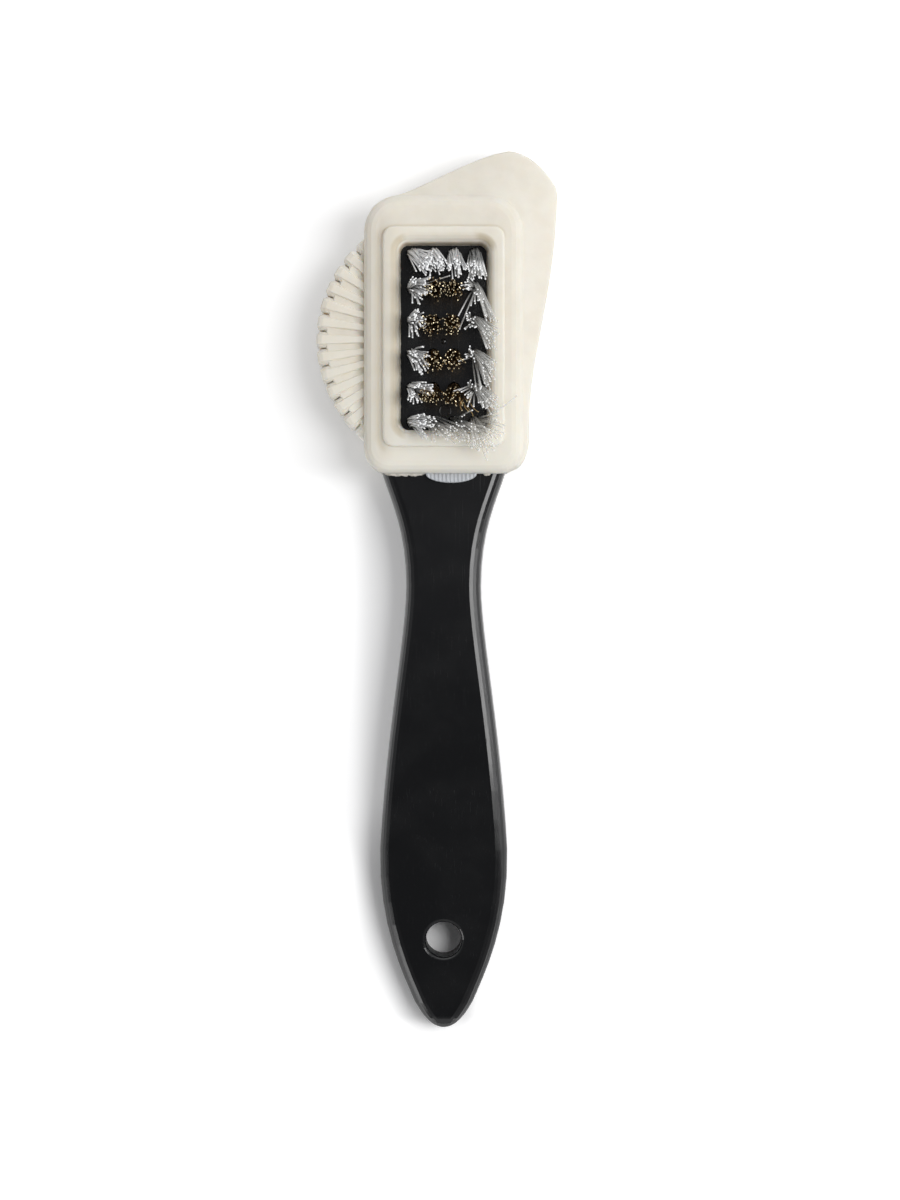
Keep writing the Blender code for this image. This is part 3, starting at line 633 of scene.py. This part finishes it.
# %% Finish of a bristle's end
# The emission is a painted glow on the ends
nylon_end, shader = new_finish("worn_nylon_end", {"IOR": 1.53, "Emission Strength": 0.16})
place, x, y, _ = place_on(shader)
scuffs = grain(place, 0.1 * MM)
past_wall = x.between(WINDOW_HALF_WIDTH - 1 * MM, WINDOW_HALF_WIDTH)
over_lip = past_wall.larger(y.between(-16 * MM, -17.5 * MM))
white = scuffs.blend((0.93, 0.94, 0.94, 1), (0.98, 0.98, 0.98, 1))
set_input(shader, "Base Color", (0.5 * over_lip).blend(white, (0.74, 0.73, 0.69, 1)))
set_input(shader, "Emission Color", over_lip.blend((0.95, 0.98, 1.0, 1), (0.45, 0.45, 0.44, 1)))
set_input(shader, "Roughness", 0.35 + 0.2 * scuffs)
print("nylon's end:", nylon_end.name)

# %% Measures of the nylon tufts
NYLON_RADIUS = 0.125 * MM
NYLON_COUNT = 46
NYLON_REACH = 1.05 * MM
NYLON_STEPS = 8
# How far a tip strays from its clump, in millimetres
NYLON_JITTER = 0.42
# How far the tips fan out within a clump, as a multiple of how far the roots stand apart
SPREAD = 1.1
# The rubbed tufts: their own spread, and how many strands they have
FRAYED = {
    "r2_c4": (1.4, 46), "r3_c4": (1.7, 58), "r4_c4": (1.7, 58), "r5_c4": (1.8, 54),
    "r6_c2": (2.1, 34), "r6_c3": (2.3, 38), "r6_c4": (2.3, 42),
}
print("frayed tufts:", len(FRAYED))


# %% Nylon tufts
def nylon_tuft(cell, clumps):
    chance = random.Random(cell)
    middle = tuft_middle(cell)
    spread, count = FRAYED.get(cell, (SPREAD, NYLON_COUNT))
    bm = bmesh.new()
    for root, lean in share_out(sunflower(count, NYLON_REACH), clumps, spread):
        jitter = Vector((chance.gauss(0, NYLON_JITTER), chance.gauss(0, NYLON_JITTER), 0)) * MM
        length = BRISTLE_LENGTH * min(1.02, chance.gauss(0.96, 0.045))
        path = bend_over(middle + root, lean + jitter, length, NYLON_STEPS, chance.uniform(1.3, 1.8))
        swollen = chance.uniform(0.9, 1.25) if cell in FRAYED else chance.uniform(1.05, 1.4)
        add_strand(bm, path, NYLON_RADIUS, WORN_END, swollen)
    piece = add_piece(f"nylon_strands_{cell}", bm, (nylon, nylon_end))
    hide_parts(f"nylon_tuft_{cell}")
    return piece


nylon_tufts = [nylon_tuft(cell, clumps) for cell, clumps in NYLON_CLUMPS.items()]
print("nylon tufts:", len(nylon_tufts))

# %% [markdown]
# One bristle is longer than the rest. It has come half out of its tuft and lies across the rubber lip, so
# it gets a path of its own: up out of the last tuft, over the lip, and off towards the wedge. The path is
# one Bezier curve, whose four points are given from the tuft's root in millimetres.

# %% Loose bristle
LOOSE_CURVE = ((0, 0, 8), (0.2, 0.1, 15.5), (4.2, 0.9, 16.9), (7.0, 4.0, 16.2))
LOOSE_RADIUS = 0.1 * MM

root = tuft_middle("r6_c4") + Vector((0.6, 0.5, 0)) * MM
curve = interpolate_bezier(*(Vector(point) * MM for point in LOOSE_CURVE), 16)
path = [root + point for point in curve]
bm = bmesh.new()
add_strand(bm, path, LOOSE_RADIUS, WORN_END, 1.1)
add_piece("loose_bristle", bm, (nylon, nylon_end))
print("loose bristle:", round(sum((b - a).length for a, b in zip(path, path[1:])) / MM, 1), "mm")

# %% [markdown]
# ## Brass
#
# The middle of the field is thin brass wire. It is crimped before it is set, so each wire is a small
# wave, and from above only the flanks that face the light flash gold. The rest is brown or black, which
# the metal does by itself once the waves are really there. A bump map on straight wire would glitter
# evenly and look like tinsel. A few wires have splayed out of the last brass row, and those keep more of
# their gold.

# %% Finish of the brass
BRASS_CLEAN = (0.52, 0.34, 0.13, 1)
BRASS_TARNISHED = (0.22, 0.13, 0.05, 1)
BRASS_SPLAYED = (0.82, 0.62, 0.32, 1)

brass, shader = new_finish("crimped_brass_wire", {"Metallic": 1.0})
place, x, y, _ = place_on(shader)
tarnish = grain(place, 0.7 * MM, 2.0).between(0.35, 0.7)
wire = tarnish.blend(BRASS_CLEAN, BRASS_TARNISHED)
splayed = x.between(1.6 * MM, 2.8 * MM) * y.between(-11.2 * MM, -12.6 * MM)
set_input(shader, "Base Color", splayed.blend(wire, BRASS_SPLAYED))
set_input(shader, "Roughness", 0.24 + 0.22 * tarnish + 0.16 * splayed)
print("brass:", brass.name)

# %% Finish of a wire's end
brass_end, shader = new_finish("cut_brass_end", {"Metallic": 1.0})
place, *_ = place_on(shader)
filed = grain(place, 0.12 * MM)
set_input(shader, "Base Color", filed.blend((0.95, 0.80, 0.50, 1), (1.0, 0.90, 0.66, 1)))
set_input(shader, "Roughness", 0.30 + 0.2 * filed)
print("wire's end:", brass_end.name)

# %% Measures of the brass tufts
BRASS_RADIUS = 0.085 * MM
BRASS_COUNT = 48
BRASS_REACH = 0.98 * MM
BRASS_STEPS = 17
BRASS_JITTER = 0.36
BRASS_SPREAD = 1.8
CRIMP = 0.13 * MM
CRIMP_PITCH = 2.1 * MM
BRASS_CLUMPS = {
    "r2_c2": ((1, 0.3, -1.2),),
    "r2_c3": ((1, -0.3, -1.2),),
    "r3_c2": ((1, -0.6, -1.5),),
    "r3_c3": ((1, -0.4, -1.5),),
    "r4_c2": ((1, 0.2, -1.8),),
    "r4_c3": ((1, -0.2, -1.8),),
    "r5_c2": ((0.55, -1.1, -2.0), (0.45, 0.2, -2.0)),
    "r5_c3": ((0.78, -0.4, -2.1), (0.22, 1.5, -3.3), (0, 4.4, -4.6), (0, 3.2, -5.2), (0, 2.2, -5.0),
              (0, 0.9, -4.4)),
}
print("brass tufts with clumps:", len(BRASS_CLUMPS))


# %% Brass tufts
def crimped(path, chance):
    """The same path with a flat wave along it."""
    turn = chance.uniform(0, math.pi)
    swing = Vector((math.cos(turn), math.sin(turn), 0)) * CRIMP
    start = chance.uniform(0, 2 * math.pi)
    return [point + swing * math.sin(start + 2 * math.pi * point.z / CRIMP_PITCH) for point in path]


def brass_tuft(cell, clumps):
    chance = random.Random(cell)
    middle = tuft_middle(cell)
    bm = bmesh.new()
    for root, lean in share_out(sunflower(BRASS_COUNT, BRASS_REACH), clumps, BRASS_SPREAD):
        jitter = Vector((chance.gauss(0, BRASS_JITTER), chance.gauss(0, BRASS_JITTER), 0)) * MM
        length = BRISTLE_LENGTH * min(1.01, chance.gauss(0.95, 0.04))
        path = bend_over(middle + root, lean + jitter, length, BRASS_STEPS, 1.2)
        top = add_strand(bm, path[:1] + crimped(path[1:], chance), BRASS_RADIUS, CUT_END, 1.15)
        # The cutter leaves each end a little aslant
        slant = Vector((chance.gauss(-0.2, 0.35), chance.gauss(0.1, 0.35), 0))
        for corner in top.verts:
            corner.co.z += slant.dot(corner.co - path[-1])
    piece = add_piece(f"brass_wires_{cell}", bm, (brass, brass_end))
    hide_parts(f"brass_tuft_{cell}")
    return piece


brass_tufts = [brass_tuft(cell, clumps) for cell, clumps in BRASS_CLUMPS.items()]
print("brass wires:", BRASS_COUNT * len(brass_tufts))

# %% [markdown]
# ## Flash
#
# Where the halves of the rubber's mould meet, a thin skin is squeezed out and torn off, which leaves a
# ragged edge. It hangs from the window's lower edge, most of it on the left, and from the upper edge of
# the mouth. A rough bump on the sleeve couldn't break the outline, so the flash is a thin strip along
# the edge, and a noise decides how far it reaches.


# %% A ragged strip
def ragged_strip(stations, low, high, closed):
    """A strip between pairs of points (root, direction of reach), from the height low to high."""
    bm = bmesh.new()
    rings = []
    for root, reach in stations:
        tip = root + reach
        inner = root - reach.normalized() * 0.3 * MM
        corners = ((inner, low), (tip, low), (tip, (low + high) / 2), (inner, high))
        rings.append([bm.verts.new((point.x, point.y, height)) for point, height in corners])
    pairs = list(zip(rings, rings[1:]))
    if closed:
        pairs.append((rings[-1], rings[0]))
    else:
        bm.faces.new(rings[0])
        bm.faces.new(rings[-1][::-1])
    for near, far in pairs:
        join_rings(bm, near, far)
    return bm


def raggedness(point, size):
    """A tear from 0 to 1 that changes about every size metres."""
    return 0.5 + 0.5 * noise.fractal(point / size, 1.0, 2.0, 4)


# %% The window's edge
CORNER_STEPS = 6


def window_outline(step):
    """Points and inward directions all round the window's lower edge."""
    half_x = WINDOW_HALF_WIDTH - WINDOW_CORNER
    half_y = WINDOW_HALF_LENGTH - WINDOW_CORNER
    centres = ((half_x, half_y), (-half_x, half_y), (-half_x, -half_y), (half_x, -half_y))
    for quarter, centre in enumerate(centres):
        centre = Vector((*centre, 0))
        for turn in range(CORNER_STEPS + 1):
            angle = math.radians(90) * (quarter + turn / CORNER_STEPS)
            outward = Vector((math.cos(angle), math.sin(angle), 0))
            yield centre + outward * WINDOW_CORNER, -outward
        following = Vector((*centres[(quarter + 1) % 4], 0))
        count = int((following - centre).length / step)
        for index in range(1, count):
            yield centre.lerp(following, index / count) + outward * WINDOW_CORNER, -outward


# %% Flash in the window
# How far the skin hangs into the window at most, in millimetres: on the left, and elsewhere
LEFT_FLASH = 0.14
OTHER_FLASH = 0.08
LEAST_FLASH = 0.02

stations = []
for point, inward in window_outline(0.28 * MM):
    most = LEFT_FLASH if point.x < -7 * MM else OTHER_FLASH
    tear = max(LEAST_FLASH, raggedness(point, 0.8 * MM) ** 1.5 * most)
    stations.append((point, inward * tear * MM))

flash, shader = new_finish("torn_rubber_flash", {"IOR": 1.5})
place, *_ = place_on(shader)
stain = grain(place, 0.8 * MM, 4.0).between(0.35, 0.65)
set_input(shader, "Base Color", stain.blend((0.86, 0.80, 0.70, 1), (0.56, 0.49, 0.37, 1)))
set_input(shader, "Roughness", 0.55 + 0.2 * stain)
strip = ragged_strip(stations, HEAD_FACE + 0.1 * MM, HEAD_FACE + 0.36 * MM, True)
add_piece("window_flash", strip, (flash,))
print("window flash stations:", len(stations))

# %% Flash over the mouth
MOUTH_Y = -24.65 * MM
MOUTH_TOP = 10.35 * MM
# Each side's name, where its flash starts and ends, and how far it hangs at most, in millimetres
MOUTH_FLASH = (("left", -10.8, -3.4, 0.62), ("right", 7.2, 8.6, 0.5))


def mouth_stations(start, end, most):
    count = round((end - start) / (0.2 * MM))
    for index in range(count + 1):
        share = index / count
        root = Vector((start + (end - start) * share, MOUTH_Y, 0))
        swell = math.sin(math.pi * share) ** 0.4
        tear = 0.05 + most * swell * (0.2 + 0.9 * raggedness(root, 0.6 * MM))
        yield root, Vector((0, -tear * MM, 0))


torn, shader = new_finish("torn_cream_rubber", {"IOR": 1.5})
place, *_ = place_on(shader)
pale = grain(place, 0.6 * MM, 3.0)
colour = pale.between(0.35, 0.65).blend((0.48, 0.45, 0.39, 1), (0.76, 0.73, 0.66, 1))
set_input(shader, "Base Color", colour)
set_input(shader, "Roughness", 0.5 + 0.2 * pale)
for side, start, end, most in MOUTH_FLASH:
    stations = list(mouth_stations(start * MM, end * MM, most))
    strip = ragged_strip(stations, MOUTH_TOP - 0.05 * MM, MOUTH_TOP + 0.2 * MM, False)
    add_piece(f"mouth_flash_{side}", strip, (torn,))
    print("mouth flash:", side, len(stations), "stations")

# %% [markdown]
# ## The ribbed tab
#
# The sleeve's mouth lays a small half-oval tab over the grip. It is moulded with fine ribs across its
# width, and it looks bluer than the rest because it is thin and lies on black. Stripes in the colour
# would do from afar, but they couldn't catch the light, so a skin with real ribs is fitted over the
# model's plain tab. It is built as columns of points across the tab, and a cosine makes the ribs.

# %% Shape of the tab
TAB_MIDDLE = 1.38 * MM
TAB_HALF_WIDTH = 4.63 * MM
TAB_REACH = 1.66 * MM
TAB_TOP = 11.15 * MM
TAB_ROOT = 0.3 * MM
RIB_COUNT = 13
RIB_DEPTH = 0.2 * MM
STEPS_PER_RIB = 12

tab = bmesh.new()
columns = []
across_steps = RIB_COUNT * STEPS_PER_RIB
for step in range(across_steps + 1):
    share = 2 * step / across_steps - 1
    across = TAB_MIDDLE + TAB_HALF_WIDTH * share
    reach = TAB_REACH * math.sqrt(max(1 - share ** 2, 0.0004))
    rib = RIB_DEPTH * 0.5 * (1 + math.cos(math.pi * share * RIB_COUNT))
    underside = MOUTH_TOP - 0.02 * MM
    profile = (
        (TAB_ROOT, TAB_TOP + rib), (-0.80 * reach, TAB_TOP + rib), (-0.95 * reach, TAB_TOP + rib * 0.6),
        (-reach, TAB_TOP - 0.14 * MM), (-reach, underside), (TAB_ROOT, underside),
    )
    columns.append([tab.verts.new((across, MOUTH_Y + out, height)) for out, height in profile])
for near, far in zip(columns, columns[1:]):
    join_rings(tab, near, far)
tab.faces.new(columns[0])
tab.faces.new(columns[-1][::-1])
print("tab ribs:", RIB_COUNT)

# %% Finish of the tab
tab_rubber, shader = new_finish("thin_blue_white_rubber", {"IOR": 1.5})
place, *_ = place_on(shader)
cloud = grain(place, 1.2 * MM, 3.0)
set_input(shader, "Base Color", cloud.blend((0.44, 0.46, 0.49, 1), (0.60, 0.62, 0.65, 1)))
set_input(shader, "Roughness", 0.45 + 0.2 * cloud)
add_piece("ribbed_tab", tab, (tab_rubber,))
print("tab:", tab_rubber.name)

# %% [markdown]
# ## Moulding marks
#
# Plastic enters a mould through a gate and leaves it on ejector pins. They leave a small pip in the
# middle of the tuft field and a shallow ring between its last two rows. Both are turned from a profile,
# a few rings of points round an axis, because a turned edge can be rounded as finely as it needs.

# %% Turned marks
TURNED_SIDES = 24
# Profiles from the foot up: radius and height over the head's face, in millimetres
PIP_PROFILE = ((0.5, -0.3), (0.5, 0.02), (0.44, 0.12), (0.3, 0.2), (0.1, 0.22))
RING_PROFILE = ((1.15, -0.3), (1.15, 0.0), (1.08, 0.05), (0.98, 0.05), (0.9, 0.02))


def turned(profile, middle):
    """A round form from points (radius, height), closed at its top and bottom."""
    bm = bmesh.new()
    side = Vector((1, 0, 0))
    other = Vector((0, 1, 0))
    rings = []
    for radius, height in profile:
        level = middle + Vector((0, 0, height)) * MM
        rings.append(ring_of_points(bm, level, side, other, radius * MM, TURNED_SIDES))
    for lower, upper in zip(rings, rings[1:]):
        join_rings(bm, lower, upper)
    bm.faces.new(rings[0][::-1])
    bm.faces.new(rings[-1])
    return bm


pip = turned(PIP_PROFILE, Vector((0, -0.6 * MM, HEAD_FACE)))
add_piece("gate_pip", pip, (plastic,))
ejector = turned(RING_PROFILE, Vector((0.24 * MM, -13.26 * MM, HEAD_FACE)))
add_piece("ejector_mark", ejector, (plastic,))
print("moulding marks: gate pip, ejector mark")

# %% [markdown]
# ## Table
#
# The brush lies on a white table. A table as white as the photograph's under a plain lamp would need so
# much light that the cream rubber burns out, so the table adds a little light of its own, for the camera
# and for reflections only. There is more of it beside the grip and below the tip, where the photograph's
# shadow is thin, less of it round the hang hole, and more far away, so that the table has no edge in a
# view from the side.

# %% Table
TABLE_REACH = 12

bm = bmesh.new()
bmesh.ops.create_grid(bm, x_segments=8, y_segments=8, size=TABLE_REACH)
table_mesh = bpy.data.meshes.new("table")
bm.to_mesh(table_mesh)
bm.free()
table = bpy.data.objects.new("table", table_mesh)
scene.collection.objects.link(table)
table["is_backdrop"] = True
print("table:", 2 * TABLE_REACH, "m wide")

# %% Where the table glows
HOLE_Y = -106 * MM
# Beside the tip the shadow's border slants: how much, and where it is no longer shifted
BORDER_SLANT = 0.28
BORDER_START = -98.5 * MM

paper, shader = new_finish("white_table", {
    "Roughness": 0.9, "Specular IOR Level": 0.1, "Emission Strength": 1.0,
})
place, x, y, _ = place_on(shader)
from_hole = y - HOLE_Y
around_hole = (x * x + from_hole * from_hole).between((26 * MM) ** 2, (11 * MM) ** 2)
around_hole = around_hole * x.between(6 * MM, 3 * MM)
to_the_side = abs(x).between(30 * MM, 90 * MM)
below_tip = 0.15 * y.between(-126 * MM, -160 * MM) + 0.16 * y.between(-124.5 * MM, -127 * MM)
far_away = (x * x + y * y).between((200 * MM) ** 2, (600 * MM) ** 2)
near_head = y.between(-60 * MM, 20 * MM)
by_grip = y.between(-22 * MM, -28 * MM)
right_of_grip = by_grip * x.between(4 * MM, 7 * MM)
left_of_grip = by_grip * x.between(-13.5 * MM, -17.5 * MM)
beside_tip = (x + BORDER_SLANT * (y - BORDER_START)).between(-13 * MM, -18 * MM)
beside_tip = beside_tip * y.between(-86 * MM, -98 * MM)
glow = 0.15 + 0.08 * near_head + 0.15 * to_the_side + below_tip + 0.7 * far_away - 0.15 * around_hole
glow = glow + 0.17 * right_of_grip + 0.1 * left_of_grip + 0.22 * beside_tip
print("masks: round the hole, beside the grip and the tip, below it, far away")

# %% Finish of the table
BLACK = (0, 0, 0, 1)
WHITE = (1, 1, 1, 1)

tooth = grain(place, 2 * MM, 3.0)
set_input(shader, "Base Color", tooth.blend((0.945, 0.945, 0.945, 1), (0.955, 0.955, 0.955, 1)))
seen = shader.node("ShaderNodeLightPath", output="Is Camera Ray")
seen = seen + shader.node("ShaderNodeLightPath", output="Is Glossy Ray")
seen = seen + shader.node("ShaderNodeLightPath", output="Is Transmission Ray")
set_input(shader, "Emission Color", (seen.between(0, 1) * glow).blend(BLACK, WHITE))
table_mesh.materials.append(paper)
print("table:", paper.name)

# %% [markdown]
# ## Sky
#
# A plain white sky would mirror in the grip and turn it grey. This one is a studio: bright near the
# horizon, most of all ahead of the brush, and dark overhead, so the black grip, which mirrors what is
# straight above it, stays black. The camera itself sees plain white.

# %% Sky
DARKEST = (0.065, 0.065, 0.065, 1)
DARK = (0.165, 0.165, 0.17, 1)
BRIGHT = (1.0, 1.0, 1.01, 1)

world = bpy.data.worlds.new("studio")
scene.world = world
world.use_nodes = True
sky = Wire(world.node_tree.nodes["Background"].outputs[0])
direction = sky.node("ShaderNodeTexCoord", output="Generated")
right, ahead, up = (sky.node("ShaderNodeSeparateXYZ", None, {0: direction}, axis) for axis in "XYZ")
band = up.between(0.0, 0.25) * up.between(0.93, 0.66)
brighter_ahead = 0.62 + 0.38 * ahead.between(-0.4, 0.4)
off_the_sides = abs(right).between(0.9, 0.25)
overhead = ahead.between(-0.16, 0.03).blend(DARKEST, DARK)
studio = (band * brighter_ahead * (0.22 + 0.78 * off_the_sides)).blend(overhead, BRIGHT)
set_input(sky, "Color", sky.node("ShaderNodeLightPath", output="Is Camera Ray").blend(studio, WHITE))
print("sky:", world.name)

# %% [markdown]
# ## Lamps
#
# The key lamp is a large soft box on the right, low enough to throw a short soft shadow to the left. A
# small hard lamp would draw that shadow with a sharp border. A weaker box stands low at the lower left
# and gives the fan and that edge of the grip their thin line of light.

# %% Lamps
LAMP_AIM = Vector((0, -40, 0)) * MM
LAMP_DISTANCE = 0.9


def add_lamp(name, turn, rise, width, height, watts):
    """A soft box aimed at the brush. Turn, from the wedge's side, and rise are in degrees."""
    turn = math.radians(turn)
    rise = math.radians(rise)
    direction = Vector((math.cos(rise) * math.cos(turn), math.cos(rise) * math.sin(turn), math.sin(rise)))
    offset = LAMP_DISTANCE * direction
    lamp_data = bpy.data.lights.new(name, "AREA")
    lamp_data.shape = "RECTANGLE"
    lamp_data.size = width
    lamp_data.size_y = height
    lamp_data.energy = watts
    lamp = bpy.data.objects.new(name, lamp_data)
    lamp.location = LAMP_AIM + offset
    lamp.rotation_euler = (-offset).to_track_quat("-Z", "Y").to_euler()
    scene.collection.objects.link(lamp)
    print(name, watts, "W")


add_lamp("key", turn=6, rise=55, width=0.42, height=0.60, watts=5.3)
add_lamp("rim", turn=213, rise=20, width=0.46, height=0.26, watts=1.0)

# %% [markdown]
# ## Close the scene
#
# The dressed brush must stay as large as the model that it dresses, so both boxes are printed.

# %% Sizes
sizes = {"cad": [list(corner) for corner in cad_bounds], "visual": [list(corner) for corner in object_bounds()]}
for name, (low, high) in sizes.items():
    print(name, [round((b - a) / MM, 2) for a, b in zip(low, high)], "mm")
